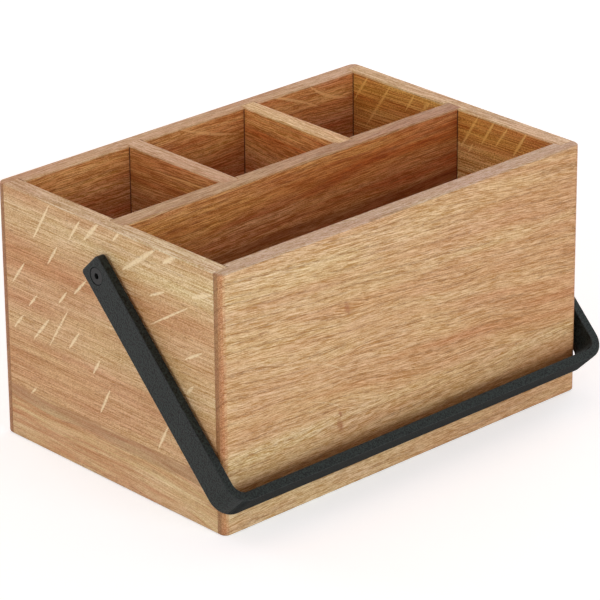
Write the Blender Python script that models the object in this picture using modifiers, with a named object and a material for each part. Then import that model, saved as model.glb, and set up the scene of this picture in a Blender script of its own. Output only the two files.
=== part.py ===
"""Cutlery caddy: an oak box of four compartments under a swinging steel carry handle.

Metres, +Z up. The origin is the middle of the underside, X runs along the length, and
the long compartment is at the front, towards -Y. The handle is modelled as it hangs,
forward and down, with the lower edge of its crossbar against the front panel.
"""

from math import atan2, cos, pi, radians, sin, sqrt

import bmesh
import bpy

MM = 0.001

# Box, outside
LENGTH = 250 * MM
DEPTH = 170 * MM
HEIGHT = 140 * MM

# Oak boards and their joints
WALL = 10 * MM
DIVIDER = 10 * MM
FLOOR = 8 * MM
FLOOR_REBATE = 5 * MM
CORNER_LAP = 5.4 * MM
HOUSING = 3 * MM
GLUE_LINE = 0.1 * MM

# Rounded edges of the oak
CORNER_RADIUS = 4 * MM
RIM_OUTSIDE_RADIUS = 1 * MM
RIM_INSIDE_RADIUS = 0.7 * MM
FOOT_RADIUS = 1.3 * MM

# Carry handle, bent from flat bar
BAR_WIDTH = 17 * MM
BAR_THICKNESS = 5 * MM
BAR_EDGE_RADIUS = 0.5 * MM
BEND_RADIUS = 6 * MM
ARM_PAST_PIVOT = 7.7 * MM
ARM_CORNER_RADIUS = 2 * MM
PIVOT_BELOW_RIM = 24.5 * MM
REST_HEIGHT = 16.8 * MM

# Pivot screws, countersunk with a hexagon socket
SCREW_DIAMETER = 5 * MM
SCREW_PAST_INSERT = 3.3 * MM
SCREW_TIP_CHAMFER = 0.6 * MM
HEAD_DIAMETER = 8.8 * MM
HEAD_RIM = 0.3 * MM
HEAD_BELOW_FACE = 0.2 * MM
SOCKET_ACROSS_FLATS = 3 * MM
SOCKET_DEPTH = 2 * MM

# Washers and threaded inserts at the pivots
WASHER_DIAMETER = 10 * MM
WASHER_THICKNESS = 1 * MM
INSERT_DIAMETER = 7 * MM
INSERT_LENGTH = 10 * MM
INSERT_CHAMFER = 0.5 * MM

# Running clearance, overrun of cuts, and the distance that welds a curve's caps
CLEARANCE = 0.3 * MM
OVERRUN = 2 * MM
WELD = 0.001 * MM

# Facets of round shapes
CORNER_STEPS = 5
BEND_STEPS = 12
TURNED_STEPS = 40
EASED_STEPS = 3
ARM_CORNER_STEPS = 5
SMOOTH_ANGLE = radians(35)

# Places that follow from the sizes
REAR_COMPARTMENT = (LENGTH - 2 * WALL - 2 * DIVIDER) / 3
CROSS_DIVIDER_X = (REAR_COMPARTMENT + DIVIDER) / 2
PIVOT_Z = HEIGHT - PIVOT_BELOW_RIM
ARM_INSIDE = LENGTH / 2 + WASHER_THICKNESS + 2 * CLEARANCE
ARM_OUTSIDE = ARM_INSIDE + BAR_THICKNESS
HEAD_FACE = ARM_OUTSIDE - HEAD_BELOW_FACE
INSERT_OUTER_END = LENGTH / 2 - CLEARANCE
INSERT_INNER_END = INSERT_OUTER_END - INSERT_LENGTH
SCREW_END = INSERT_INNER_END - SCREW_PAST_INSERT

# The crossbar's lower inner edge is a rounding whose centre lies in front of the panel by
# the edge radius. Its distance from the pivot gives the handle's reach and its angle below
# the horizontal.
EDGE_OUT = DEPTH / 2 + CLEARANCE + BAR_EDGE_RADIUS
EDGE_DOWN = PIVOT_Z - REST_HEIGHT
EDGE_ASIDE = BAR_WIDTH / 2 - BAR_EDGE_RADIUS
EDGE_REACH = sqrt(EDGE_OUT**2 + EDGE_DOWN**2 - EDGE_ASIDE**2)
HANDLE_REACH = EDGE_REACH + BAR_THICKNESS - BAR_EDGE_RADIUS
REST_ANGLE = atan2(EDGE_DOWN, EDGE_OUT) - atan2(EDGE_ASIDE, EDGE_REACH)

# Left and right, as seen from the front
SIDES = (("left", -1), ("right", 1))


# Scene, collections and materials


def clear_scene():
    for piece in list(bpy.data.objects):
        bpy.data.objects.remove(piece, do_unlink=True)


def new_collection(name):
    collection = bpy.data.collections.new(name)
    bpy.context.scene.collection.children.link(collection)
    return collection


def new_material(name, colour, metallic, roughness):
    material = bpy.data.materials.new(name)
    material.use_nodes = True
    shader = material.node_tree.nodes["Principled BSDF"]
    shader.inputs["Base Color"].default_value = (*colour, 1)
    shader.inputs["Metallic"].default_value = metallic
    shader.inputs["Roughness"].default_value = roughness
    return material


def add_object(name, data, collection):
    piece = bpy.data.objects.new(name, data)
    collection.objects.link(piece)
    return piece


def hide_cutter(cutter):
    cutter.hide_render = True
    cutter.display_type = "WIRE"


# Shapes


def arc(centre, radius, start, end, steps):
    """Points along an arc, with both of its ends."""
    angles = [start + (end - start) * step / steps for step in range(steps + 1)]
    return [(centre[0] + radius * cos(a), centre[1] + radius * sin(a)) for a in angles]


def mirrored(points):
    """The same points on the other side of x = 0, in reverse, to close an outline."""
    return [(-x, y) for x, y in reversed(points)]


def block(name, size, centre, collection):
    """A box from its size and its centre."""
    mesh = bpy.data.meshes.new(name)
    shape = bmesh.new()
    bmesh.ops.create_cube(shape, size=1)
    bmesh.ops.scale(shape, vec=size, verts=shape.verts)
    shape.to_mesh(mesh)
    shape.free()
    piece = add_object(name, mesh, collection)
    piece.location = centre
    return piece


def plate(name, outline, thickness, collection):
    """A flat outline in XY, extruded to both sides of z = 0 and made a closed mesh."""
    curve = bpy.data.curves.new(name, "CURVE")
    curve.dimensions = "2D"
    curve.fill_mode = "BOTH"
    curve.extrude = thickness / 2
    spline = curve.splines.new("POLY")
    spline.points.add(len(outline) - 1)
    for point, (x, y) in zip(spline.points, outline):
        point.co = (x, y, 0, 1)
    spline.use_cyclic_u = True
    drawn = add_object(name + "_outline", curve, collection)

    depsgraph = bpy.context.evaluated_depsgraph_get()
    mesh = bpy.data.meshes.new_from_object(drawn.evaluated_get(depsgraph))
    mesh.name = name
    shape = bmesh.new()
    shape.from_mesh(mesh)
    bmesh.ops.remove_doubles(shape, verts=shape.verts, dist=WELD)
    bmesh.ops.dissolve_limit(
        shape, angle_limit=radians(1), verts=shape.verts, edges=shape.edges
    )
    bmesh.ops.recalc_face_normals(shape, faces=shape.faces)
    shape.to_mesh(mesh)
    shape.free()
    mesh.materials.clear()

    piece = add_object(name, mesh, collection)
    piece.matrix_world = drawn.matrix_world.copy()
    bpy.data.objects.remove(drawn, do_unlink=True)
    bpy.data.curves.remove(curve)
    return piece


def turned(name, profile, closed, collection):
    """A profile of radii and heights, top to bottom down its outer side, turned about Z.

    An open profile starts and ends on the axis. A closed one makes a ring.
    """
    count = len(profile)
    edges = [(i, (i + 1) % count) for i in range(count if closed else count - 1)]
    mesh = bpy.data.meshes.new(name)
    mesh.from_pydata([(radius, 0, height) for radius, height in profile], edges, [])
    piece = add_object(name, mesh, collection)
    screw = piece.modifiers.new("turning", "SCREW")
    screw.axis = "Z"
    screw.steps = TURNED_STEPS
    screw.render_steps = TURNED_STEPS
    screw.use_merge_vertices = True
    screw.merge_threshold = WELD
    screw.use_smooth_shade = True
    return piece


def point_outward(piece, side):
    """Lays a turned piece on the pivot axis, its top towards the side's outside."""
    piece.rotation_euler.y = side * pi / 2
    piece.location.z = PIVOT_Z


# Edges and cuts


def round_edges(piece, radius_at, steps):
    """Rounds each edge by the radius that radius_at gives for its two ends."""
    mesh = piece.data
    ends = [[mesh.vertices[i].co for i in edge.vertices] for edge in mesh.edges]
    radii = [radius_at(first, second) for first, second in ends]
    weights = mesh.attributes.new("bevel_weight_edge", "FLOAT", "EDGE")
    for weight, radius in zip(weights.data, radii):
        weight.value = radius / max(radii)
    bevel = piece.modifiers.new("rounding", "BEVEL")
    bevel.limit_method = "WEIGHT"
    bevel.width = max(radii)
    bevel.segments = steps
    return bevel


def cut(piece, *cutters):
    for cutter in cutters:
        boolean = piece.modifiers.new(cutter.name, "BOOLEAN")
        boolean.operation = "DIFFERENCE"
        boolean.solver = "EXACT"
        boolean.object = cutter


def finish(piece, material, parent):
    piece.data.materials.append(material)
    piece.data.shade_smooth()
    piece.data.set_sharp_from_angle(angle=SMOOTH_ANGLE)
    piece.parent = parent


# Oak


def wall_panel(name, end, collection):
    """A wall from the plan of its right-hand end, centred on x and z.

    Its outer face is at y = 0 and its inner face at y = WALL. The plan starts on the outer
    face. Its outer edges are eased at the rim and the foot, and its inner one at the rim.
    """
    panel = plate(name, end + mirrored(end), HEIGHT, collection)

    def radius_at(first, second):
        level = first.z * second.z > 0 and abs(first.z - second.z) < WELD
        outside = min(first.y, second.y) < CORNER_LAP - WELD
        across = max(first.y, second.y) > CORNER_LAP + WELD
        inside = min(first.y, second.y) > WALL - WELD
        if level and outside and not across:
            return RIM_OUTSIDE_RADIUS if first.z > 0 else FOOT_RADIUS
        if level and inside and first.z > 0:
            return RIM_INSIDE_RADIUS
        return 0

    round_edges(panel, radius_at, EASED_STEPS)
    return panel


def lapped_end(length):
    """Plan of a front or back wall's end: rounded outside, then rabbeted for the side panel."""
    half = length / 2
    shoulder = half - WALL - GLUE_LINE
    rounded = arc(
        (half - CORNER_RADIUS, CORNER_RADIUS), CORNER_RADIUS, radians(-90), 0, CORNER_STEPS
    )
    return rounded + [(half, CORNER_LAP), (shoulder, CORNER_LAP), (shoulder, WALL)]


def square_end(length):
    """Plan of a side panel's end, which butts into the rabbet of a front or back wall."""
    half = length / 2
    return [(half, 0), (half, WALL)]


def divider(name, length, collection):
    """An upright board along x, from the floor to the rim, with its top edges eased."""
    size = (length, DIVIDER, HEIGHT - FLOOR - GLUE_LINE)
    board = block(name, size, (0, 0, HEIGHT - size[2] / 2), collection)

    def radius_at(first, second):
        top = min(first.z, second.z) > 0
        along = abs(first.y - second.y) < WELD
        return RIM_INSIDE_RADIUS if top and along else 0

    round_edges(board, radius_at, EASED_STEPS)
    return board


def housing_cutter(board, length, collection):
    """The room that a divider takes in its neighbours, with a glue line all round."""
    size = (
        length + 2 * GLUE_LINE,
        DIVIDER + 2 * GLUE_LINE,
        HEIGHT - FLOOR + OVERRUN,
    )
    centre = (board.location.x, board.location.y, FLOOR + size[2] / 2)
    cutter = block(board.name + "_housing", size, centre, collection)
    cutter.rotation_euler = board.rotation_euler
    return cutter


# Handle and pivots


def handle_bar(name, collection):
    """The flat bar bent to a U: arms along y, pivot axis along x through the origin."""
    bend = (ARM_INSIDE - BEND_RADIUS, BEND_RADIUS + BAR_THICKNESS - HANDLE_REACH)
    outer = [(ARM_OUTSIDE, ARM_PAST_PIVOT)]
    outer += arc(bend, BEND_RADIUS + BAR_THICKNESS, 0, radians(-90), BEND_STEPS)
    inner = arc(bend, BEND_RADIUS, radians(-90), 0, BEND_STEPS)
    inner += [(ARM_INSIDE, ARM_PAST_PIVOT)]
    handle = plate(
        name, outer + mirrored(outer) + mirrored(inner) + inner, BAR_WIDTH, collection
    )

    def arm_corner_radius_at(first, second):
        at_end = min(first.y, second.y) > 0
        across = abs(first.x - second.x) > WELD
        return ARM_CORNER_RADIUS if at_end and across else 0

    round_edges(handle, arm_corner_radius_at, ARM_CORNER_STEPS)
    eased = handle.modifiers.new("eased edges", "BEVEL")
    eased.limit_method = "ANGLE"
    eased.angle_limit = radians(60)
    eased.width = BAR_EDGE_RADIUS
    eased.segments = EASED_STEPS
    return handle


def head_profile(gap):
    """Half outline of the countersunk head and shank, grown by a gap on every side.

    Heights are distances from the middle of the caddy along the pivot axis.
    """
    rim = HEAD_DIAMETER / 2 + gap * sqrt(2)
    shank = SCREW_DIAMETER / 2 + gap
    return [
        (rim, HEAD_FACE - HEAD_RIM),
        (shank, HEAD_FACE - HEAD_RIM - (rim - shank)),
    ]


def arm_hole_cutter(name, side, collection):
    (rim, rim_x), (shank, neck_x) = head_profile(CLEARANCE)
    outside = ARM_OUTSIDE + OVERRUN
    inside = ARM_INSIDE - OVERRUN
    profile = [(0, outside), (rim, outside), (rim, rim_x), (shank, neck_x)]
    profile += [(shank, inside), (0, inside)]
    cutter = turned(name, profile, False, collection)
    point_outward(cutter, side)
    return cutter


def oak_bore_cutter(name, side, collection):
    """The stepped bore for the insert and the screw's tip, in panel and divider."""
    wide = INSERT_DIAMETER / 2 + CLEARANCE
    narrow = SCREW_DIAMETER / 2 + CLEARANCE
    outside = LENGTH / 2 + OVERRUN
    step = INSERT_INNER_END - CLEARANCE
    bottom = SCREW_END - CLEARANCE
    profile = [(0, outside), (wide, outside), (wide, step), (narrow, step)]
    profile += [(narrow, bottom), (0, bottom)]
    cutter = turned(name, profile, False, collection)
    point_outward(cutter, side)
    return cutter


def pivot_screw(name, side, collection, cutters):
    rim, neck = head_profile(0)
    tip = SCREW_DIAMETER / 2 - SCREW_TIP_CHAMFER
    profile = [(0, HEAD_FACE), (rim[0], HEAD_FACE), rim, neck]
    profile += [
        (neck[0], SCREW_END + SCREW_TIP_CHAMFER),
        (tip, SCREW_END),
        (0, SCREW_END),
    ]
    screw = turned(name, profile, False, collection)
    point_outward(screw, side)

    mesh = bpy.data.meshes.new(name + "_socket")
    shape = bmesh.new()
    bmesh.ops.create_cone(
        shape,
        cap_ends=True,
        segments=6,
        radius1=SOCKET_ACROSS_FLATS / sqrt(3),
        radius2=SOCKET_ACROSS_FLATS / sqrt(3),
        depth=SOCKET_DEPTH + OVERRUN,
    )
    shape.to_mesh(mesh)
    shape.free()
    socket = add_object(name + "_socket", mesh, cutters)
    point_outward(socket, side)
    socket.location.x = side * (HEAD_FACE + (OVERRUN - SOCKET_DEPTH) / 2)
    hide_cutter(socket)
    cut(screw, socket)
    return screw


def pivot_washer(name, side, collection):
    bore = SCREW_DIAMETER / 2 + CLEARANCE
    edge = WASHER_DIAMETER / 2
    outer = ARM_INSIDE - CLEARANCE
    inner = LENGTH / 2 + CLEARANCE
    profile = [(bore, outer), (edge, outer), (edge, inner), (bore, inner)]
    washer = turned(name, profile, True, collection)
    point_outward(washer, side)
    return washer


def screw_insert(name, side, collection):
    bore = SCREW_DIAMETER / 2 + CLEARANCE
    edge = INSERT_DIAMETER / 2
    profile = [
        (bore, INSERT_OUTER_END),
        (edge, INSERT_OUTER_END),
        (edge, INSERT_INNER_END + INSERT_CHAMFER),
        (edge - INSERT_CHAMFER, INSERT_INNER_END),
        (bore, INSERT_INNER_END),
    ]
    insert = turned(name, profile, True, collection)
    point_outward(insert, side)
    return insert


def build():
    clear_scene()
    parts = new_collection("cutlery_caddy")
    cutters = new_collection("cutters")
    caddy = add_object("caddy", None, parts)

    front_oak = new_material("front_oak", (0.58, 0.36, 0.17), 0, 0.5)
    side_oak = new_material("side_oak", (0.6, 0.39, 0.19), 0, 0.5)
    inner_oak = new_material("inner_oak", (0.5, 0.29, 0.12), 0, 0.55)
    floor_oak = new_material("floor_oak", (0.46, 0.26, 0.11), 0, 0.55)
    powder_coat = new_material("powder_coat", (0.022, 0.024, 0.023), 0, 0.42)
    black_steel = new_material("black_steel", (0.018, 0.018, 0.018), 0.6, 0.4)
    nylon = new_material("nylon", (0.03, 0.03, 0.03), 0, 0.6)
    brass = new_material("brass", (0.7, 0.5, 0.2), 1, 0.35)

    # Floor, and the rebate that it takes in the foot of each wall
    floor_length = LENGTH - 2 * (WALL - FLOOR_REBATE) - 2 * GLUE_LINE
    floor_depth = DEPTH - 2 * (WALL - FLOOR_REBATE) - 2 * GLUE_LINE
    floor = block(
        "bottom_panel", (floor_length, floor_depth, FLOOR), (0, 0, FLOOR / 2), parts
    )
    rebate = block(
        "floor_rebate",
        (
            floor_length + 2 * GLUE_LINE,
            floor_depth + 2 * GLUE_LINE,
            FLOOR + GLUE_LINE + OVERRUN,
        ),
        (0, 0, (FLOOR + GLUE_LINE - OVERRUN) / 2),
        cutters,
    )

    # Walls, each turned to face outward. The front and back lap the ends of the sides.
    side_length = DEPTH - 2 * (CORNER_LAP + GLUE_LINE)
    front = wall_panel("front_panel", lapped_end(LENGTH), parts)
    front.location = (0, -DEPTH / 2, HEIGHT / 2)
    right = wall_panel("right_side_panel", square_end(side_length), parts)
    right.location = (LENGTH / 2, 0, HEIGHT / 2)
    right.rotation_euler.z = radians(90)
    back = wall_panel("back_panel", lapped_end(LENGTH), parts)
    back.location = (0, DEPTH / 2, HEIGHT / 2)
    back.rotation_euler.z = radians(180)
    left = wall_panel("left_side_panel", square_end(side_length), parts)
    left.location = (-LENGTH / 2, 0, HEIGHT / 2)
    left.rotation_euler.z = radians(-90)

    # Long divider across the middle, housed in both side panels
    long_length = LENGTH - 2 * (WALL - HOUSING) - 2 * GLUE_LINE
    long_divider = divider("long_divider", long_length, parts)
    long_housing = housing_cutter(long_divider, long_length, cutters)

    # Cross dividers behind it, housed in the long divider and the back panel
    cross_front = DIVIDER / 2 - HOUSING + GLUE_LINE
    cross_back = DEPTH / 2 - WALL + HOUSING - GLUE_LINE
    cross_length = cross_back - cross_front
    cross_dividers = []
    cross_housings = []
    for word, side in SIDES:
        cross = divider(word + "_cross_divider", cross_length, parts)
        cross.rotation_euler.z = radians(90)
        cross.location.x = side * CROSS_DIVIDER_X
        cross.location.y = (cross_front + cross_back) / 2
        cross_dividers.append(cross)
        cross_housings.append(housing_cutter(cross, cross_length, cutters))

    # Pivots, and the holes that they take in the oak and the handle
    handle = handle_bar("carry_handle", parts)
    handle.location.z = PIVOT_Z
    handle.rotation_euler.x = REST_ANGLE
    bores = []
    for word, side in SIDES:
        arm_hole = arm_hole_cutter(word + "_arm_hole", side, cutters)
        cut(handle, arm_hole)
        bores.append(oak_bore_cutter(word + "_oak_bore", side, cutters))
        screw = pivot_screw(word + "_pivot_screw", side, parts, cutters)
        washer = pivot_washer(word + "_pivot_washer", side, parts)
        insert = screw_insert(word + "_screw_insert", side, parts)
        finish(screw, black_steel, caddy)
        finish(washer, nylon, caddy)
        finish(insert, brass, caddy)
        hide_cutter(arm_hole)

    left_bore, right_bore = bores
    cut(front, rebate)
    cut(back, rebate, *cross_housings)
    cut(left, rebate, long_housing, left_bore)
    cut(right, rebate, long_housing, right_bore)
    cut(long_divider, *cross_housings, *bores)
    for cutter in (rebate, long_housing, *cross_housings, *bores):
        hide_cutter(cutter)

    for panel in (front, back):
        finish(panel, front_oak, caddy)
    for panel in (left, right):
        finish(panel, side_oak, caddy)
    for board in (long_divider, *cross_dividers):
        finish(board, inner_oak, caddy)
    finish(floor, floor_oak, caddy)
    finish(handle, powder_coat, caddy)


build()
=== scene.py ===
"""Cutlery caddy in oiled oak with a swinging black carry handle.

Finishes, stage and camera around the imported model.
"""

import math
from dataclasses import dataclass

import bpy
from bpy.props import FloatProperty, FloatVectorProperty, PointerProperty
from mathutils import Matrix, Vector


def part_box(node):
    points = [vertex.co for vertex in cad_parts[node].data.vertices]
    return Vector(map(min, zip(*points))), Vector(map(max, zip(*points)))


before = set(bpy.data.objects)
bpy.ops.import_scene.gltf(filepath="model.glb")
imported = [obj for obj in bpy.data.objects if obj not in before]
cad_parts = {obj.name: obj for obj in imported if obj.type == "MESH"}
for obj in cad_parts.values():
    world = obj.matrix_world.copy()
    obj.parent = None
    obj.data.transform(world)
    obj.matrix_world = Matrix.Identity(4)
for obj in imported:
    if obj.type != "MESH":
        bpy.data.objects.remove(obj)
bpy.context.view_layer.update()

bl_info = {
    "name": "Cutlery Caddy",
    "version": (1, 0, 0),
    "blender": (4, 5, 0),
    "location": "3D View > Sidebar > Caddy",
    "description": "Finishes the cutlery caddy in oiled oak and black powder coat, and sets its stage",
    "category": "Object",
}

RIM_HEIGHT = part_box("front_panel")[1].z
INNER_HALF_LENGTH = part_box("right_side_panel")[0].x
INNER_HALF_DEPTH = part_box("back_panel")[0].y
HANDLE_HANGS_AT = math.radians(45.5)
MM_PER_METRE = 1000.0

# Where a finish starts and where it is full, in metres outside the inner faces or below the rim.
INSIDE_FADE = (0.0009, 0.0004)
BELOW_RIM_FADE = (0.0004, 0.0014)
RIM_FADE = (0.0010, 0.0005)
# DEEPER_FADE: below the rim, where the painted shade on the inner faces goes over from its tint near the
# rim to its tint lower down.
DEEPER_FADE = (0.010, 0.045)

WHITE = (1.0, 1.0, 1.0)

FLOAT = "NodeSocketFloat"
VECTOR = "NodeSocketVector"


# Sizes and colours that a user would change

def colour_property(name, description, default):
    """A colour with a swatch in the panel, in linear values."""
    return FloatVectorProperty(
        name=name, description=description, default=default,
        subtype="COLOR", size=3, min=0.0, max=2.0,
    )


class OakSettings(bpy.types.PropertyGroup):
    """Colours and grain of the oiled oak."""

    light: colour_property("Light Wood", "Palest latewood", (0.676, 0.548, 0.299))
    dark: colour_property("Dark Wood", "Darkest earlywood", (0.434, 0.144, 0.037))
    golden: colour_property("Golden Tint", "Tint of the yellower patches", (1.0, 1.005, 0.93))
    rosy: colour_property("Rosy Tint", "Tint of the pinker patches", (1.0, 0.965, 0.975))
    streak: colour_property("Streak", "Reddish brown streaks along the grain", (0.315, 0.145, 0.040))
    # Dark zones: heartwood on the left side; on the long divider a painted shade band low on its faces
    # that show inside.
    heartwood_and_shade: colour_property("Dark Heart Tint", "Tint of broad dark bands along a board", (0.50, 0.40, 0.34))
    pore: colour_property("Pore", "Open pores filled with oil", (0.190, 0.080, 0.030))
    fleck: colour_property("Ray Fleck", "Cream ray flecks on quarter-sawn faces", (0.85, 0.71, 0.44))
    end_grain: colour_property(
        "End Grain Tint", "Tint of the eased corners, where the grain turns", (0.78, 0.56, 0.47),
    )
    end_edge: colour_property("End Edge Tint", "Tint of the cut ends themselves", (0.56, 0.42, 0.31))
    # Painted shade: near the rim the inner faces are tinted darker and redder, for the shade inside the
    # compartments.
    inside: colour_property(
        "Inside Tint", "Tint of the oil-soaked inner faces near the rim", (0.88, 0.63, 0.39),
    )
    # Painted light: lower down the inner faces are tinted lighter and bluer, to offset the dark red light
    # that reaches them there.
    deep: colour_property("Deep Tint", "Tint of the inner faces lower down", (1.10, 1.12, 1.45))
    # Painted shade: dark lines in the inner corners, where the gaps round the housed dividers fall in
    # shade.
    seam: colour_property("Seam", "Oil and dust in the inner corners", (0.060, 0.018, 0.012))
    # Partly painted light: the top edges are tinted paler and bluer, as from sanding and to cancel the
    # warm light that falls on them from above.
    rim: colour_property("Rim Tint", "Tint of the sanded top edges", (0.93, 1.04, 1.26))
    knot: colour_property("Knot", "Small pin knots", (0.34, 0.135, 0.050))
    roughness: FloatProperty(
        name="Roughness", description="Roughness of the oiled faces", default=0.48, min=0.0, max=1.0,
    )
    pore_depth: FloatProperty(
        name="Pore Depth", description="Depth of the open pores", default=0.00012,
        min=0.0, max=0.001, precision=5, subtype="DISTANCE", unit="LENGTH",
    )


class HandleSettings(bpy.types.PropertyGroup):
    """Finish of the carry handle and its pivots."""

    coat: colour_property("Powder Coat", "Fine black powder coat", (0.0046, 0.0068, 0.0062))
    # Painted highlight: a lighter coat colour along the bar's long edges.
    edge_highlight: colour_property("Arris", "Thin coat along the bar's long edges", (0.024, 0.025, 0.025))
    screw: colour_property("Screw", "Black oxide steel", (0.012, 0.013, 0.013))
    washer: colour_property("Washer", "Black nylon washer", (0.030, 0.030, 0.030))
    brass: colour_property("Brass", "Threaded insert", (0.700, 0.500, 0.200))
    roughness: FloatProperty(
        name="Roughness", description="Roughness of the powder coat", default=0.42, min=0.0, max=1.0,
    )


class StageSettings(bpy.types.PropertyGroup):
    """Floor, lamps and camera."""

    floor: colour_property("Floor", "Plain pale floor", (0.65, 0.76, 0.86))
    floor_size: FloatProperty(
        name="Floor Size", description="Side of the floor", default=12.0, min=2.0,
        subtype="DISTANCE", unit="LENGTH",
    )
    daylight: FloatProperty(
        name="Daylight", description="Level of the even light from all round", default=0.33, min=0.0,
    )
    overhead: FloatProperty(
        name="Overhead Light", description="Level of the even light from straight above",
        default=0.66, min=0.0,
    )
    lamp_level: FloatProperty(
        name="Lamp Level", description="Level of the soft lamps", default=1.0, min=0.0,
    )
    camera_place: FloatVectorProperty(
        name="Camera Place", description="Where the camera stands", default=(-1.21723, -1.32208, 0.84731),
        subtype="TRANSLATION", unit="LENGTH", size=3, precision=5,
    )
    camera_turn: FloatVectorProperty(
        name="Camera Turn", description="How the camera is turned",
        default=tuple(math.radians(a) for a in (66.41655, 0.46796, -42.95337)),
        subtype="EULER", unit="ROTATION", size=3,
    )
    lens: FloatProperty(
        name="Lens", description="Focal length on a 36 mm sensor", default=226.568, min=1.0,
        subtype="DISTANCE_CAMERA", unit="CAMERA",
    )


# Wiring of shader nodes

class Wire:
    """A node's output, with sums and products that each add one Math node."""

    def __init__(self, socket):
        self.socket = socket
        self.tree = socket.id_data

    def math(self, operation, *others, clamp=False):
        node = self.tree.nodes.new("ShaderNodeMath")
        node.operation = operation
        node.use_clamp = clamp
        for place, value in enumerate((self, *others)):
            plug(value, node.inputs[place])
        return Wire(node.outputs[0])

    def __add__(self, other):
        return self.math("ADD", other)

    def __sub__(self, other):
        return self.math("SUBTRACT", other)

    def __mul__(self, other):
        return self.math("MULTIPLY", other)

    def __truediv__(self, other):
        return self.math("DIVIDE", other)

    __radd__ = __add__
    __rmul__ = __mul__

    def __rsub__(self, other):
        return (self * -1.0) + other

    def clamped(self):
        return self.math("ADD", 0.0, clamp=True)


def plug(value, socket):
    """Sets an input socket to a number or colour, or links a wire to it."""
    if isinstance(value, Wire):
        value.tree.links.new(value.socket, socket)
    elif socket.type == "RGBA" and len(value) == 3:
        socket.default_value = (*value, 1.0)
    else:
        socket.default_value = value


def smooth(value, start, end):
    """0 at start, 1 at end, eased between them. Start may lie above end."""
    node = value.tree.nodes.new("ShaderNodeMapRange")
    node.interpolation_type = "SMOOTHSTEP"
    plug(value, node.inputs["Value"])
    plug(start, node.inputs["From Min"])
    plug(end, node.inputs["From Max"])
    return Wire(node.outputs["Result"])


def split(vector):
    """The three parts of a vector."""
    node = vector.tree.nodes.new("ShaderNodeSeparateXYZ")
    plug(vector, node.inputs[0])
    return [Wire(out) for out in node.outputs]


def join(x, y, z):
    """A vector from three parts."""
    tree = next(part.tree for part in (x, y, z) if isinstance(part, Wire))
    node = tree.nodes.new("ShaderNodeCombineXYZ")
    for part, socket in zip((x, y, z), node.inputs):
        plug(part, socket)
    return Wire(node.outputs[0])


def stretched(parts, sizes):
    """A place measured in a feature's size along each of three directions."""
    return join(*(part / size for part, size in zip(parts, sizes)))


def noise(vector, detail=0.0, roughness=0.5):
    """Smooth noise round 0.5 with features about one unit wide."""
    node = vector.tree.nodes.new("ShaderNodeTexNoise")
    plug(vector, node.inputs["Vector"])
    node.inputs["Scale"].default_value = 1.0
    node.inputs["Detail"].default_value = detail
    node.inputs["Roughness"].default_value = roughness
    return Wire(node.outputs["Fac"])


def mixed(share, first, second, blend="MIX"):
    """One colour over another."""
    tree = next(value.tree for value in (share, first, second) if isinstance(value, Wire))
    node = tree.nodes.new("ShaderNodeMix")
    node.data_type = "RGBA"
    node.blend_type = blend
    plug(share, node.inputs[0])
    plug(first, node.inputs[6])
    plug(second, node.inputs[7])
    return Wire(node.outputs[2])


def blended(share, first, second):
    """One number over another."""
    return (1.0 - share) * first + share * second


def tinted(colour, tint, share=None):
    """A colour multiplied by a tint, everywhere or by a share."""
    product = mixed(1.0, colour, tint, "MULTIPLY")
    return product if share is None else mixed(share, colour, product)


def scaled(colour, factor):
    """A lighter or darker version of a colour."""
    return tuple(part * factor for part in colour)


def strongest(masks):
    """The largest of several masks at each place, or None without any."""
    largest = None
    for mask in masks:
        largest = mask if largest is None else largest.math("MAXIMUM", mask)
    return largest


def new_group(name, inputs, outputs):
    """An empty node group with named sockets: its input wires by name and its output node."""
    tree = bpy.data.node_groups.new(name, "ShaderNodeTree")
    for socket_name, kind, default in inputs:
        socket = tree.interface.new_socket(name=socket_name, in_out="INPUT", socket_type=kind)
        socket.default_value = default
    for socket_name, kind in outputs:
        tree.interface.new_socket(name=socket_name, in_out="OUTPUT", socket_type=kind)
    entry = tree.nodes.new("NodeGroupInput")
    exit_node = tree.nodes.new("NodeGroupOutput")
    return {s.name: Wire(s) for s in entry.outputs if s.name}, exit_node


def below_rim(z, fade):
    """0 at the first distance below the rim, 1 at the second."""
    start, full = fade
    return smooth(z, RIM_HEIGHT - start, RIM_HEIGHT - full)


def inside_caddy(position):
    """1 on the inner faces of the caddy below its rim, 0 outside and on the rim."""
    x, y, z = split(position)
    start, full = INSIDE_FADE
    within = smooth(x.math("ABSOLUTE"), INNER_HALF_LENGTH + start, INNER_HALF_LENGTH + full)
    within = within * smooth(y.math("ABSOLUTE"), INNER_HALF_DEPTH + start, INNER_HALF_DEPTH + full)
    return within * below_rim(z, BELOW_RIM_FADE)


def placed(tree, group, **values):
    """A copy of a node group in a material: its output wires by name. Underscores stand for spaces."""
    node = tree.nodes.new("ShaderNodeGroup")
    node.node_tree = group
    for name, value in values.items():
        plug(value, node.inputs[name.replace("_", " ")])
    return {out.name: Wire(out) for out in node.outputs}


def new_material(name):
    """A material with only a Principled BSDF and its output: the tree and the shader node."""
    material = bpy.data.materials.new(name)
    material.use_nodes = True
    tree = material.node_tree
    tree.nodes.clear()
    shader = tree.nodes.new("ShaderNodeBsdfPrincipled")
    output = tree.nodes.new("ShaderNodeOutputMaterial")
    tree.links.new(shader.outputs["BSDF"], output.inputs["Surface"])
    return material, tree, shader


def object_position(tree):
    """Place on the piece in metres, and its surface direction, both in the model's frame at rest."""
    node = tree.nodes.new("ShaderNodeTexCoord")
    return Wire(node.outputs["Object"]), Wire(node.outputs["Normal"])


def bumped(height, depth):
    """A surface direction from a height of 0 to 1 times depth in metres."""
    node = height.tree.nodes.new("ShaderNodeBump")
    node.inputs["Strength"].default_value = 1.0
    node.inputs["Distance"].default_value = depth
    plug(height, node.inputs["Height"])
    return Wire(node.outputs["Normal"])


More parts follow.
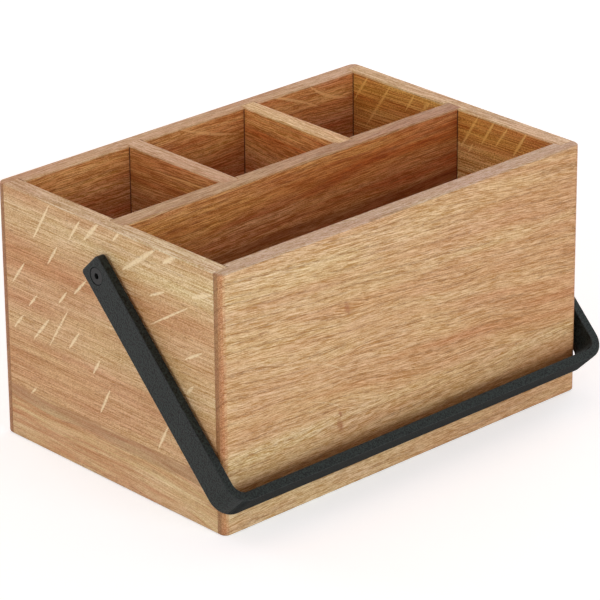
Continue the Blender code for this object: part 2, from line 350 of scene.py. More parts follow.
def dress(nodes, material):
    """Gives CAD nodes a material."""
    for name in nodes:
        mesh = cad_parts[name].data
        mesh.materials.clear()
        mesh.materials.append(material)


# Node groups that several finishes share

# Sizes of the grain's features in millimetres: along, across and through the board.
SLOW_BEND = (75.0, 30.0, 30.0)
RIPPLE = (13.0, 5.0, 6.0)
BROAD_FIGURE = (34.0, 2.1, 4.0)
GRIT = (1.0, 0.55, 0.55)
DASH = (8.5, 0.26, 0.5)
VESSEL = (3.0, 0.26, 0.26)
HUE_PATCH = (60.0, 14.0, 14.0)

# The same for fine lines, which are as long as the board's streaks, and fibres, a share of that.
LINE_WIDTH, LINE_DEPTH = 0.40, 1.2
FIBRE_SHARE, FIBRE_WIDTH, FIBRE_DEPTH = 0.30, 0.30, 0.7

# Noise above a level shows as a dash or a pore. In a row of pores the level is this much lower.
DASH_LEVEL = 0.645
DASH_LEVEL_IN_ROW = 0.15
PORE_LEVEL = 0.70
PORE_LEVEL_IN_ROW = 0.10

def oak_grain_group():
    """Tone, dark streaks and pores of one board, cut from a solid. All lengths are in millimetres."""
    wires, out = new_group(
        "Oak Grain",
        [
            ("Board", VECTOR, (0.0, 0.0, 0.0)),
            ("Slope", FLOAT, 0.0),
            ("Wander", FLOAT, 4.0),
            ("Ring Width", FLOAT, 3.0),
            ("Through", FLOAT, 0.5),
            ("Streak Length", FLOAT, 14.0),
            ("Rows", FLOAT, 1.0),
            ("Figure", FLOAT, 0.4),
            ("Lines", FLOAT, 1.9),
            ("Fibre", FLOAT, 1.7),
            ("Grit", FLOAT, 0.6),
            ("Dashes", FLOAT, 0.0),
        ],
        [("Figure", FLOAT), ("Fine", FLOAT), ("Streaks", FLOAT), ("Pores", FLOAT), ("Hue", FLOAT)],
    )
    u, v, w = split(wires["Board"])
    slow = noise(stretched((u, v, w), SLOW_BEND), detail=1.0) - 0.5
    ripple = noise(stretched((u, v, w), RIPPLE)) - 0.5
    flow = v + u * wires["Slope"] + slow * wires["Wander"] + ripple * 0.4
    depth = flow + w * wires["Through"]
    length = wires["Streak Length"]

    widths = noise(join(depth / (wires["Ring Width"] * 2.6), 7.3, 1.9)) - 0.5
    ring = depth / wires["Ring Width"] + widths * 2.4
    phase = ring.math("FRACT")
    strength = noise(join(ring.math("FLOOR") * 0.73, u / 45.0, 3.1))
    row = smooth(phase, 0.0, 0.12) * smooth(phase, 0.60, 0.22) * smooth(strength, 0.36, 0.62)

    band = noise(join(u / 110.0, depth / 7.0, 4.7), detail=1.0) - 0.5
    broad = noise(stretched((u, depth, w), BROAD_FIGURE), detail=1.0) - 0.5
    line_size = (length, LINE_WIDTH, LINE_DEPTH)
    lines = noise(stretched((u, depth, w), line_size), detail=1.0) - 0.5
    fibre_size = (length * FIBRE_SHARE, FIBRE_WIDTH, FIBRE_DEPTH)
    fibre = noise(stretched((u, depth, w), fibre_size), detail=1.0) - 0.5
    grit = noise(stretched((u, v, w), GRIT)) - 0.5
    plug(band * 0.45 + broad * wires["Figure"], out.inputs["Figure"])
    plug(lines * wires["Lines"] + fibre * wires["Fibre"] + grit * wires["Grit"], out.inputs["Fine"])

    dashes = noise(stretched((u, flow, w), DASH), detail=1.0, roughness=0.4)
    level = DASH_LEVEL - wires["Dashes"] - row * DASH_LEVEL_IN_ROW * wires["Rows"]
    plug(smooth(dashes - level, 0.0, 0.05), out.inputs["Streaks"])
    vessels = noise(stretched((u, flow, w), VESSEL), detail=1.0, roughness=0.6)
    plug(smooth(vessels - (PORE_LEVEL - row * PORE_LEVEL_IN_ROW), 0.0, 0.06), out.inputs["Pores"])
    plug(noise(stretched((u, flow, w), HUE_PATCH), detail=2.0, roughness=0.6), out.inputs["Hue"])
    return out.id_data


def ray_fleck_group():
    """One cream ray fleck, tapered at both ends, on a quarter-sawn face."""
    wires, out = new_group(
        "Ray Fleck",
        [
            ("Board", VECTOR, (0.0, 0.0, 0.0)),
            ("Along", FLOAT, 0.0),
            ("Height", FLOAT, 0.0),
            ("Length", FLOAT, 15.0),
            ("Width", FLOAT, 1.5),
            ("Slant", FLOAT, 0.9),
            ("Sag", FLOAT, 0.0),
        ],
        [("Fleck", FLOAT)],
    )
    u, v, _ = split(wires["Board"])
    x = u - wires["Along"]
    y = v - wires["Height"]
    ragged = noise(join(u / 1.6, v / 1.6, 5.0), detail=1.0) - 0.5
    cosine = wires["Slant"].math("COSINE")
    sine = wires["Slant"].math("SINE")
    run = (x * cosine + y * sine) / (wires["Length"] * 0.5)
    taper = (1.0 - run * run).math("MAXIMUM", 0.0)
    aside = (y * cosine - x * sine + ragged * 0.7 + wires["Sag"] * taper) / (wires["Width"] * 0.5)
    solid = smooth(aside.math("ABSOLUTE"), taper * 1.2 + 0.35, taper * 0.35)
    plug(solid * smooth(taper, 0.0, 0.25) * smooth(ragged, -0.50, 0.10), out.inputs["Fleck"])
    return out.id_data


def pin_knot_group():
    """One small knot, and how far it pushes the grain aside, in millimetres."""
    wires, out = new_group(
        "Pin Knot",
        [
            ("Board", VECTOR, (0.0, 0.0, 0.0)),
            ("Along", FLOAT, 0.0),
            ("Height", FLOAT, 0.0),
            ("Size", FLOAT, 3.0),
        ],
        [("Knot", FLOAT), ("Push", FLOAT)],
    )
    u, v, _ = split(wires["Board"])
    x = (u - wires["Along"]) / wires["Size"]
    y = (v - wires["Height"]) / wires["Size"]
    ragged = noise(join(u / 1.3, v / 1.3, 2.0), detail=2.0) - 0.5
    across = x * 1.25 + y * 0.35 + ragged * 0.7
    reach = (across * across + y * y * 0.45).math("SQRT")
    core = smooth(reach, 0.95, 0.15) * (0.62 + smooth(ragged, -0.1, 0.15) * 0.38)
    plug(core, out.inputs["Knot"])
    far = (x * x * 0.035 + y * y * 0.10).math("MULTIPLY", -1.0).math("EXPONENT")
    side = y / (y * y + 0.8).math("SQRT")
    plug(far * side * wires["Size"] * -0.55, out.inputs["Push"])
    return out.id_data


# Size of the clouds, measured in speckles.
CLOUD_SIZE = 14.0


def speckle_group():
    """Fine even texture of a sprayed or moulded surface. Size is in metres."""
    wires, out = new_group(
        "Speckle",
        [("Position", VECTOR, (0.0, 0.0, 0.0)), ("Size", FLOAT, 0.0006)],
        [("Speckle", FLOAT), ("Clouds", FLOAT)],
    )
    place = split(wires["Position"])
    size = wires["Size"]
    plug(noise(stretched(place, (size, size, size)), detail=2.0, roughness=0.6), out.inputs["Speckle"])
    cloud = size * CLOUD_SIZE
    plug(noise(stretched(place, (cloud, cloud, cloud)), detail=2.0), out.inputs["Clouds"])
    return out.id_data


GROUPS = {}


def make_groups():
    """Builds the shared node groups once."""
    if not GROUPS:
        GROUPS.update(
            grain=oak_grain_group(),
            fleck=ray_fleck_group(),
            knot=pin_knot_group(),
            speckle=speckle_group(),
        )


# Oak boards

@dataclass
class Board:
    """How one board is cut and what its faces show. Lengths are in millimetres.

    An axis is one of the model's axes and a sign. A pair is for the staves above and below the
    glue joint, whose height is stave. A band is its height, its half width and how much lighter
    it is, and a zone is its height, its half width and its share of the dark zone tint, which is
    heartwood on the left side and painted shade on the long divider. shaded_corners are the inner
    corners' places along the board, where painted shade darkens the gaps. Laps says that the
    board's ends show at the corners. board_shade_tint is this board's own tint for the painted
    shade on its inner faces, and sanded_and_lit its own tint of the top edge, which is paler as
    from sanding and painted to cancel the warm light from above.
    """

    along: tuple
    across: tuple
    through: tuple
    seed: int
    stave: float = 0.0
    slope: tuple = (0.0, 0.0)
    ring: tuple = (3.0, 3.0)
    wander: tuple = (4.0, 4.0)
    lean: tuple = (0.5, 0.5)
    rows: tuple = (1.0, 1.0)
    length: tuple = (22.0, 22.0)
    figure: tuple = (0.4, 0.4)
    fine: tuple = (1.0, 1.0)
    lines: float = 1.9
    fibre: float = 1.9
    grit: float = 0.6
    drift: float = 0.0
    bands: tuple = ()
    zones: tuple = ()
    dashes: float = 0.0
    dash_depth: float = 0.6
    flecks: tuple = ()
    fleck_share: float = 0.6
    knots: tuple = ()
    joint: float = 0.0
    laps: bool = False
    shaded_corners: tuple = ()
    board_shade_tint: tuple = (1.0, 1.0, 1.0)
    sanded_and_lit: tuple = (1.0, 1.0, 1.0)


X, Y, Z = 0, 1, 2

# Each fleck: place along the board from its middle, height, length and width in millimetres,
# slant in degrees, and on some the sag of its middle in millimetres.
LEFT_FLECKS = (
    (-50, 128, 28, 1.5, 58), (-24, 131, 16, 1.5, 55), (-11, 134, 18, 2.4, 46), (8, 137, 8, 1.5, 47),
    (25, 130, 33, 2.6, 36), (48, 137, 13, 2.6, 34), (-42, 112, 15, 1.5, 56), (-70, 94, 18, 1.5, 53),
    (-21, 101, 15, 1.5, 46), (-35, 91, 11, 1.5, 50), (-59, 82, 11, 1.4, 49), (-71, 67, 13, 1.4, 49),
    (-39, 73, 30, 1.3, 57), (-53, 68, 21, 1.6, 49), (-27, 70, 15, 1.6, 53), (-10, 61, 11, 1.6, 58),
    (38, 116, 13, 1.5, 26), (47, 107, 35, 1.1, 32), (71, 125, 17, 2.2, 22), (64, 91, 16, 1.4, 30),
    (61, 72, 8, 1.8, 49), (-4, 44, 18, 1.6, 62), (40, 39, 17, 1.6, 62), (-61, 31, 7, 1.2, 45),
)
BACK_FLECKS = (
    (10, 133.2, 46, 1.6, -18, 1.2), (71, 133.6, 41, 1.5, -22, -1.0), (97, 133.2, 33, 1.6, -25, 2.4),
)
RIGHT_FLECKS = (
    (-14, 129.4, 25, 1.6, -58), (-27.6, 132.4, 19, 1.5, -58), (-37.6, 132.7, 16, 1.3, -55),
    (-50.9, 132.3, 19, 1.6, -58), (-15, 120.5, 7, 1.2, -57), (68.7, 132, 20, 1.6, -56),
    (55.8, 124.6, 36, 1.5, -56), (30.8, 133.8, 14, 1.3, -58), (18.5, 135.2, 6, 2.4, -47),
    (-62, 112, 14, 1.4, -56), (-2, 96, 18, 1.5, -60), (-44, 88, 16, 1.5, -57),
    (40, 92, 15, 1.4, -55), (72, 78, 18, 1.6, -58), (-20, 66, 14, 1.5, -54),
)

# Each knot: place along the board from its middle, height and size, in millimetres.
FRONT_KNOTS = ((-42, 98, 3.4), (-47, 35.5, 3.8), (-47, 42, 1.8))

BOARDS = {
    "front_panel": Board(
        (X, 1), (Z, 1), (Y, 1), seed=0, stave=42.5,
        slope=(0.085, -0.01), ring=(3.6, 4.4), wander=(7.0, 5.0), lean=(0.9, 0.9), rows=(1.0, 0.8),
        length=(22.0, 18.0), figure=(0.12, 0.2), lines=1.15, fibre=2.6, drift=-0.0008,
        bands=((130.0, 16.0, 0.10), (103.0, 6.0, 0.10), (57.0, 9.0, -0.12), (39.0, 6.0, 0.20)),
        dashes=0.02, dash_depth=0.75, knots=FRONT_KNOTS,
        flecks=((-53.5, 69, 26, 0.7, -27, -1.4), (-57, 49.5, 27, 0.7, -24, -1.6)), fleck_share=0.35,
        laps=True, shaded_corners=(-115.0, 115.0), sanded_and_lit=(0.93, 1.00, 1.15),
    ),
    "back_panel": Board(
        (X, 1), (Z, 1), (Y, 1), seed=1, stave=75.0,
        slope=(0.02, -0.05), ring=(3.2, 4.4), wander=(9.0, 12.0), lean=(0.8, 0.9),
        flecks=BACK_FLECKS, fleck_share=0.75,
        laps=True, shaded_corners=(-115.0, -45.0, -35.0, 35.0, 45.0, 115.0), board_shade_tint=(1.06, 1.06, 1.12),
    ),
    "left_side_panel": Board(
        (Y, -1), (Z, 1), (X, 1), seed=2, stave=29.5,
        slope=(0.0, 0.02), ring=(2.2, 5.0), wander=(1.5, 14.0), lean=(0.1, 1.0), rows=(0.4, 0.2),
        length=(70.0, 50.0), figure=(0.20, 1.0), fine=(1.0, 0.65), lines=1.2, fibre=1.9, grit=1.1,
        drift=0.0010,
        bands=(
            (127.0, 16.0, 0.28), (104.0, 11.0, -0.16), (70.0, 10.0, 0.16), (48.0, 14.0, -0.12),
            (16.0, 4.0, 0.16), (7.0, 5.0, 0.06),
        ),
        zones=((25.6, 4.2, 0.42),), flecks=LEFT_FLECKS, fleck_share=0.95,
        joint=0.5, shaded_corners=(-75.0, -5.0, 5.0, 75.0), sanded_and_lit=(1.07, 1.21, 1.26),
    ),
    "right_side_panel": Board(
        (Y, 1), (Z, 1), (X, 1), seed=3, stave=60.0,
        slope=(0.02, -0.02), ring=(2.3, 2.6), wander=(3.0, 3.0), lean=(0.1, 0.2), rows=(0.6, 0.6),
        length=(70.0, 60.0), grit=1.1, flecks=RIGHT_FLECKS, fleck_share=0.8,
        shaded_corners=(-75.0, -5.0, 5.0, 75.0), board_shade_tint=(1.12, 1.20, 0.84), sanded_and_lit=(1.05, 1.08, 0.95),
    ),
    "long_divider": Board(
        (X, 1), (Z, 1), (Y, 1), seed=4,
        slope=(-0.015, 0.0), ring=(2.8, 3.0), wander=(6.0, 6.0), lean=(0.6, 0.6), drift=-0.0010,
        # Its zone is painted shade: a dark band at the lowest part of its faces that shows inside.
        dashes=0.03, dash_depth=0.8, zones=((97.0, 13.0, 0.85),),
        shaded_corners=(-115.0, 115.0), board_shade_tint=(0.97, 0.92, 0.80), sanded_and_lit=(0.78, 0.70, 0.58),
    ),
    "left_cross_divider": Board(
        (Y, 1), (Z, 1), (X, 1), seed=5, slope=(0.03, 0.0), shaded_corners=(5.0, 75.0),
    ),
    "right_cross_divider": Board(
        (Y, 1), (Z, 1), (X, 1), seed=6, slope=(-0.04, 0.0), ring=(3.4, 3.0),
        shaded_corners=(5.0, 75.0), board_shade_tint=(1.20, 1.26, 1.28), sanded_and_lit=(1.18, 1.20, 1.06),
    ),
    "bottom_panel": Board(
        (X, 1), (Y, 1), (Z, 1), seed=7, slope=(0.02, 0.0), ring=(3.6, 3.0), wander=(12.0, 6.0),
    ),
}

# How far apart in the tree boards are cut, and the two staves of one board, in millimetres.
SEED_STEP = 611.0
STAVE_STEP = 370.0

# Distance in millimetres from the glue joint over which one stave gives way to the other.
JOINT_STEP = 0.12

# Distances in millimetres from a glue joint, or from an inner corner with its painted shade line, where
# its line ends and where it is full.
GLUE_LINE = (0.45, 0.10)
CORNER_SHADE_LINE = (0.55, 0.20)

# How far bands and zones follow the figure in millimetres, and where a zone is full in its width.
BAND_WAVE = 6.0
ZONE_WAVE = 5.0
ZONE_CORE = 0.6

# What the finest lines of the grain multiply the wood's colour by, at their darkest and lightest.
FINE_DARK = (0.684, 0.525, 0.230)
FINE_LIGHT = (1.316, 1.475, 1.770)
INSIDE_CONTRAST = 1.4
HUE_RANGE = (0.30, 0.72)
DEEPER_PATCHES = 0.3

# How far a detail covers the wood, among them the painted shade in the inner corners, and how much of the
# streaks the rim's sanding takes away.
PORE_SHARE = 0.5
CORNER_SHADE_SHARE = 0.85
RIM_OFF_STREAKS = 0.6

# How squarely a lapped end faces along the board where each tint starts and where it is full.
CORNER_FACING = (0.05, 0.80)
END_FACING = (0.84, 1.0)

# What pores, streaks and fine lines do to the gloss and the height of the surface.
OAK_GLOSS = 0.45
PORE_ROUGHNESS, STREAK_ROUGHNESS, FINE_ROUGHNESS = 0.2, 0.08, 0.08
PORE_SINK, STREAK_SINK, FINE_RISE = 0.7, 0.3, 0.3


def board_axis(parts, axis):
    """One part of a position, turned to the board's direction and to millimetres."""
    index, sign = axis
    return parts[index] * (sign * MM_PER_METRE)


def bare_wood(board, settings, grain, u, v, fine, hue, contrast):
    """The wood's colour: its figure, which drifts lighter or darker along the board, bands, fine lines,
    hue, and dark zones, which are heartwood on the left side and painted shade on the long divider.
    """
    figure = grain["Figure"] + u * board.drift
    for height, half_width, lighter in board.bands:
        aside = (v + grain["Figure"] * BAND_WAVE - height).math("ABSOLUTE")
        figure = figure + smooth(aside, half_width, 0.0) * lighter
    colour = mixed((figure * contrast + 0.5).clamped(), settings.dark, settings.light)
    colour = tinted(colour, mixed((fine * contrast + 0.5).clamped(), FINE_DARK, FINE_LIGHT))
    colour = tinted(colour, mixed(hue, settings.golden, settings.rosy))
    # Dark zones: heartwood on the left side, painted shade on the long divider.
    for height, half_width, share in board.zones:
        aside = (v + grain["Figure"] * ZONE_WAVE - height).math("ABSOLUTE")
        colour = tinted(colour, settings.heartwood_and_shade, smooth(aside, half_width, half_width * ZONE_CORE) * share)
    return colour


def ray_flecks(tree, board, face):
    """The mask of a board's ray flecks, or None if it has none."""
    return strongest(
        placed(
            tree, GROUPS["fleck"], Board=face, Along=along, Height=height, Length=length, Width=width,
            Slant=math.radians(slant), Sag=sag[0] if sag else 0.0,
        )["Fleck"]
        for along, height, length, width, slant, *sag in board.flecks
    )


def oak_material(name, board, settings):
    """Oiled oak as this board shows it."""
    material, tree, shader = new_material("oak_" + name)
    position, direction = object_position(tree)
    parts = split(position)
    u = board_axis(parts, board.along)
    v = board_axis(parts, board.across)
    w = board_axis(parts, board.through)
    face = join(u, v, w)
    lower = smooth(v, board.stave + JOINT_STEP, board.stave - JOINT_STEP)
    knots = [
        placed(tree, GROUPS["knot"], Board=face, Along=along, Height=height, Size=size)
        for along, height, size in board.knots
    ]
    push = sum(knot["Push"] for knot in knots)
    place = join(u + SEED_STEP * board.seed, v + lower * STAVE_STEP + push, w)

    def by_stave(pair):
        return blended(lower, *pair) if board.stave and pair[0] != pair[1] else pair[0]

    grain = placed(
        tree, GROUPS["grain"], Board=place, Slope=by_stave(board.slope), Ring_Width=by_stave(board.ring),
        Wander=by_stave(board.wander), Through=by_stave(board.lean), Rows=by_stave(board.rows),
        Streak_Length=by_stave(board.length), Figure=by_stave(board.figure),
        Lines=board.lines, Fibre=board.fibre, Grit=board.grit, Dashes=board.dashes,
    )
    inside = inside_caddy(position)
    rim = below_rim(parts[Z], RIM_FADE)
    fine = grain["Fine"] * by_stave(board.fine)
    hue = smooth(grain["Hue"], *HUE_RANGE)
    colour = bare_wood(board, settings, grain, u, v, fine, hue, 1.0 + inside * INSIDE_CONTRAST)

    streaks = grain["Streaks"] * (1.0 - rim * RIM_OFF_STREAKS) * board.dash_depth
    colour = mixed(streaks, colour, settings.streak)
    fleck = ray_flecks(tree, board, face)
    if fleck:
        colour = mixed(fleck * (1.0 - rim) * board.fleck_share, colour, settings.fleck)
    colour = mixed(grain["Pores"] * PORE_SHARE, colour, settings.pore)
    if board.joint:
        glue = smooth((v - board.stave).math("ABSOLUTE"), *GLUE_LINE)
        colour = mixed(glue * board.joint, colour, settings.streak)
    if knots:
        colour = mixed(strongest(knot["Knot"] for knot in knots), colour, settings.knot)

    if board.laps:
        facing = split(direction)[board.along[0]].math("ABSOLUTE")
        turned = mixed(smooth(facing, *END_FACING), settings.end_grain, settings.end_edge)
        colour = tinted(colour, turned, smooth(facing, *CORNER_FACING))
    # The top edges' tint: paler as from sanding, and painted light that cancels the warm light from above;
    # on the right cross divider also a painted cream highlight.
    sanded_and_lit = tuple(ours * all_boards for ours, all_boards in zip(board.sanded_and_lit, settings.rim))
    colour = tinted(colour, sanded_and_lit, rim)
    # Painted light and shade on the inner faces: from the tint near the rim to the tint lower down, varied
    # with the grain's patches and by this board's own tint.
    deeper = below_rim(parts[Z], DEEPER_FADE) + (hue - 0.5) * DEEPER_PATCHES
    inside_shade = tinted(mixed(deeper.clamped(), settings.inside, settings.deep), board.board_shade_tint)
    colour = tinted(colour, inside_shade, inside)
    # Painted shade: dark lines in the inner corners, in the gaps where the dividers meet the walls.
    seam = strongest(smooth((u - along).math("ABSOLUTE"), *CORNER_SHADE_LINE) for along in board.shaded_corners)
    if seam:
        colour = mixed(seam * inside * CORNER_SHADE_SHARE, colour, settings.seam)
    plug(colour, shader.inputs["Base Color"])

    rough = settings.roughness + grain["Pores"] * PORE_ROUGHNESS + grain["Streaks"] * STREAK_ROUGHNESS
    plug(rough - fine * FINE_ROUGHNESS, shader.inputs["Roughness"])
    height = 1.0 - grain["Pores"] * PORE_SINK - grain["Streaks"] * STREAK_SINK + fine * FINE_RISE
    plug(bumped(height, settings.pore_depth), shader.inputs["Normal"])
    shader.inputs["Specular IOR Level"].default_value = OAK_GLOSS
    return material


class CADDY_OT_walls(bpy.types.Operator):
    """Dresses the four walls and the bottom in oiled oak"""

    bl_idname = "caddy.walls"
    bl_label = "Oak Walls"

    def execute(self, context):
        make_groups()
        settings = context.scene.caddy_oak
        for name in ("front_panel", "back_panel", "left_side_panel", "right_side_panel", "bottom_panel"):
            dress([name], oak_material(name, BOARDS[name], settings))
        return {"FINISHED"}


class CADDY_OT_dividers(bpy.types.Operator):
    """Dresses the long divider and the two cross dividers in oiled oak"""

    bl_idname = "caddy.dividers"
    bl_label = "Oak Dividers"

    def execute(self, context):
        make_groups()
        settings = context.scene.caddy_oak
        for name in ("long_divider", "left_cross_divider", "right_cross_divider"):
            dress([name], oak_material(name, BOARDS[name], settings))
        return {"FINISHED"}


# Handle and pivots

# Gloss, and the size of the speckle and the depth of its bumps in metres.
SPRAYED_GLOSS = 0.25
COAT_GLOSS = 0.19
COAT_SPECKLE = 0.0009
COAT_DEPTH = 0.00007

# What the coat's colour is multiplied by in its pits and on its grains.
COAT_PITS = 0.1
COAT_GRAINS = 3.6

# The crossbar: how far painted shade darkens its coat, and how rough its matt coat is.
CROSSBAR_SHADE_SHARE = 0.6
CROSSBAR_ROUGHNESS = 0.95


def uneven(roughness, texture, speckle):
    """A roughness that varies a little with the clouds and the speckle."""
    return texture["Clouds"] * 0.12 + speckle * 0.10 + (roughness - 0.11)


def sprayed_material(name, colour, roughness, size, depth):
    """A dark sprayed or moulded surface with a fine even texture."""
    material, tree, shader = new_material(name)
    position, _ = object_position(tree)
    texture = placed(tree, GROUPS["speckle"], Position=position, Size=size)
    speckle = smooth(texture["Speckle"], 0.30, 0.72)
    plug(mixed(speckle * 0.5, colour, scaled(colour, 1.9)), shader.inputs["Base Color"])
    plug(uneven(roughness, texture, speckle), shader.inputs["Roughness"])
    plug(bumped(speckle, depth), shader.inputs["Normal"])
    shader.inputs["Specular IOR Level"].default_value = SPRAYED_GLOSS
    return material


def coated_bar_material(settings):
    """Fine black powder coat, matt on the crossbar with painted shade darkening it there, and a painted
    highlight along the bar's long edges.
    """
    material, tree, shader = new_material("powder_coat")
    position, direction = object_position(tree)
    texture = placed(tree, GROUPS["speckle"], Position=position, Size=COAT_SPECKLE)
    speckle = smooth(texture["Speckle"], 0.36, 0.64)
    _, forward, upward = split(direction)
    sine = math.sin(HANDLE_HANGS_AT)
    cosine = math.cos(HANDLE_HANGS_AT)
    lengthwise = (forward * sine + upward * cosine).math("ABSOLUTE")
    crosswise = (upward * sine - forward * cosine).math("ABSOLUTE")
    matt_shaded_crossbar = smooth(lengthwise, 0.80, 0.96)
    # Painted highlight: the coat is drawn lighter along the bar's eased long edges.
    edge_highlight = smooth(crosswise, 0.20, 0.45) * smooth(crosswise, 0.95, 0.80)
    coat = mixed(speckle, scaled(settings.coat, COAT_PITS), scaled(settings.coat, COAT_GRAINS))
    # Painted shade: the crossbar's coat is drawn darker.
    coat = mixed(matt_shaded_crossbar * CROSSBAR_SHADE_SHARE, coat, scaled(settings.coat, COAT_PITS))
    coat = mixed(edge_highlight, coat, settings.edge_highlight)
    plug(coat, shader.inputs["Base Color"])
    rough = uneven(settings.roughness, texture, speckle)
    plug(blended(matt_shaded_crossbar, rough, CROSSBAR_ROUGHNESS), shader.inputs["Roughness"])
    plug(bumped(speckle, COAT_DEPTH), shader.inputs["Normal"])
    shader.inputs["Specular IOR Level"].default_value = COAT_GLOSS
    return material


class CADDY_OT_handle(bpy.types.Operator):
    """Gives the bent carry handle its fine black powder coat"""

    bl_idname = "caddy.handle"
    bl_label = "Carry Handle"

    def execute(self, context):
        make_groups()
        settings = context.scene.caddy_handle
        dress(["carry_handle"], coated_bar_material(settings))
        return {"FINISHED"}


class CADDY_OT_pivots(bpy.types.Operator):
    """Finishes the pivot screws, washers and threaded inserts"""

    bl_idname = "caddy.pivots"
    bl_label = "Pivot Screws and Washers"

    def execute(self, context):
        make_groups()
        settings = context.scene.caddy_handle
        oxide = sprayed_material(
            "black_oxide", settings.screw, roughness=0.40, size=0.00025, depth=0.00001,
        )
        dress(["left_pivot_screw", "right_pivot_screw"], oxide)
        nylon = sprayed_material(
            "nylon_washer", settings.washer, roughness=0.55, size=0.00040, depth=0.00002,
        )
        dress(["left_pivot_washer", "right_pivot_washer"], nylon)
        material, tree, shader = new_material("insert_brass")
        position, _ = object_position(tree)
        texture = placed(tree, GROUPS["speckle"], Position=position, Size=0.0008)
        brass = mixed(texture["Clouds"], settings.brass, scaled(settings.brass, 0.7))
        plug(brass, shader.inputs["Base Color"])
        shader.inputs["Metallic"].default_value = 1.0
        plug(texture["Speckle"] * 0.3 + 0.15, shader.inputs["Roughness"])
        dress(["left_screw_insert", "right_screw_insert"], material)
        return {"FINISHED"}


# Stage

FLOOR_GLOW = 0.50


def add_floor(settings):
    """A plain pale floor that shows white to the camera and keeps the caddy's shadow."""
    half = settings.floor_size / 2
    mesh = bpy.data.meshes.new("floor")
    corners = [(-half, -half, 0), (half, -half, 0), (half, half, 0), (-half, half, 0)]
    mesh.from_pydata(corners, [], [(0, 1, 2, 3)])
    floor = bpy.data.objects.new("floor", mesh)
    bpy.context.scene.collection.objects.link(floor)
    material, tree, shader = new_material("pale_floor")
    shader.inputs["Roughness"].default_value = 0.9
    shader.inputs["Specular IOR Level"].default_value = 0.0
    shader.inputs["Base Color"].default_value = (*settings.floor, 1.0)
    plug(seen_rays(tree) * FLOOR_GLOW, shader.inputs["Emission Strength"])
    shader.inputs["Emission Color"].default_value = (*WHITE, 1.0)
    mesh.materials.append(material)


def seen_rays(tree):
    """1 for rays that show the background itself: to the camera, in gloss and through glass."""
    node = tree.nodes.new("ShaderNodeLightPath")
    seen = Wire(node.outputs["Is Camera Ray"]).math("MAXIMUM", Wire(node.outputs["Is Glossy Ray"]))
    return seen.math("MAXIMUM", Wire(node.outputs["Is Transmission Ray"]))


def add_world(settings):
    """Even light from all round, white where it is seen."""
    world = bpy.data.worlds.new("soft_room")
    world.use_nodes = True
    tree = world.node_tree
    tree.nodes.clear()
    background = tree.nodes.new("ShaderNodeBackground")
    output = tree.nodes.new("ShaderNodeOutputWorld")
    way = tree.nodes.new("ShaderNodeTexCoord")
    upward = smooth(split(Wire(way.outputs["Generated"]))[Z], 0.15, 0.85)
    level = blended(upward, settings.daylight, settings.overhead)
    seen = seen_rays(tree)
    plug(blended(seen, level, 1.0), background.inputs["Strength"])
    plug(mixed(seen, DAYLIGHT_COLOUR, WHITE), background.inputs["Color"])
    tree.links.new(background.outputs[0], output.inputs["Surface"])
    bpy.context.scene.world = world


# Name, place and watts of each lamp. All of them look at the middle of the caddy.
LAMPS = (
    ("left_lamp", (-2.0, -0.35, 0.50), 14.2),
    ("front_lamp", (-0.1, -2.1, 0.50), 22.8),
    ("right_lamp", (2.0, 0.6, 0.60), 13.0),
    ("back_lamp", (-0.3, 2.1, 0.60), 13.0),
)
LAMP_WIDTH = 1.6
LAMP_HEIGHT = 0.9
LAMP_TARGET = Vector((0.0, 0.0, 0.07))
LAMP_COLOUR = (0.87, 1.02, 1.12)
DAYLIGHT_COLOUR = (1.22, 0.75, 0.53)


def add_lamp(name, place, watts, level):
    """A soft lamp that looks at the caddy."""
    data = bpy.data.lights.new(name, "AREA")
    data.shape = "RECTANGLE"
    data.size = LAMP_WIDTH
    data.size_y = LAMP_HEIGHT
    data.energy = watts * level
    data.color = LAMP_COLOUR
    lamp = bpy.data.objects.new(name, data)
    lamp.location = place
    lamp.rotation_euler = (LAMP_TARGET - Vector(place)).to_track_quat("-Z", "Y").to_euler()
    bpy.context.scene.collection.objects.link(lamp)


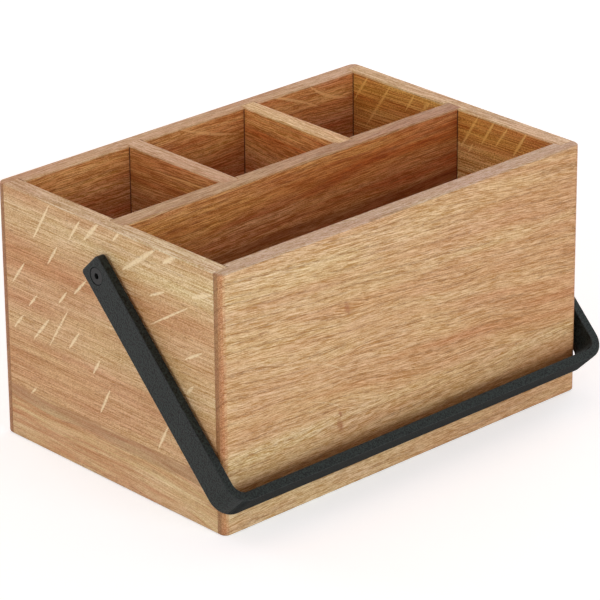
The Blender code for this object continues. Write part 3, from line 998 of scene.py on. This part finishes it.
def add_camera(settings):
    """The camera at the photograph's place and angle."""
    data = bpy.data.cameras.new("camera")
    data.sensor_width = 36.0
    data.lens = settings.lens
    data.clip_start = 0.05
    data.clip_end = 50.0
    camera = bpy.data.objects.new("camera", data)
    camera.location = settings.camera_place
    camera.rotation_euler = settings.camera_turn
    bpy.context.scene.collection.objects.link(camera)
    bpy.context.scene.camera = camera


class CADDY_OT_stage(bpy.types.Operator):
    """Adds the floor, the even light, the soft lamps and the camera"""

    bl_idname = "caddy.stage"
    bl_label = "Stage"

    def execute(self, context):
        settings = context.scene.caddy_stage
        add_floor(settings)
        add_world(settings)
        for lamp in LAMPS:
            add_lamp(*lamp, settings.lamp_level)
        add_camera(settings)
        context.scene.view_settings.view_transform = "Standard"
        return {"FINISHED"}


class CADDY_PT_panel(bpy.types.Panel):
    """Lists the caddy's finishes and sizes in the sidebar"""

    bl_idname = "CADDY_PT_panel"
    bl_label = "Cutlery Caddy"
    bl_space_type = "VIEW_3D"
    bl_region_type = "UI"
    bl_category = "Caddy"

    def draw(self, context):
        layout = self.layout
        for operator in OPERATORS:
            layout.operator(operator.bl_idname)
        for settings in (context.scene.caddy_oak, context.scene.caddy_handle, context.scene.caddy_stage):
            box = layout.box()
            for name in settings.__annotations__:
                box.prop(settings, name)


OPERATORS = (CADDY_OT_walls, CADDY_OT_dividers, CADDY_OT_handle, CADDY_OT_pivots, CADDY_OT_stage)
CLASSES = (OakSettings, HandleSettings, StageSettings, *OPERATORS, CADDY_PT_panel)
SETTINGS = {"caddy_oak": OakSettings, "caddy_handle": HandleSettings, "caddy_stage": StageSettings}


def register():
    for cls in CLASSES:
        bpy.utils.register_class(cls)
    for name, cls in SETTINGS.items():
        setattr(bpy.types.Scene, name, PointerProperty(type=cls))


def unregister():
    for name in SETTINGS:
        delattr(bpy.types.Scene, name)
    for cls in reversed(CLASSES):
        bpy.utils.unregister_class(cls)


def main():
    register()
    bpy.ops.caddy.walls()
    bpy.ops.caddy.dividers()
    bpy.ops.caddy.handle()
    bpy.ops.caddy.pivots()
    bpy.ops.caddy.stage()


if __name__ == "__main__":
    main()
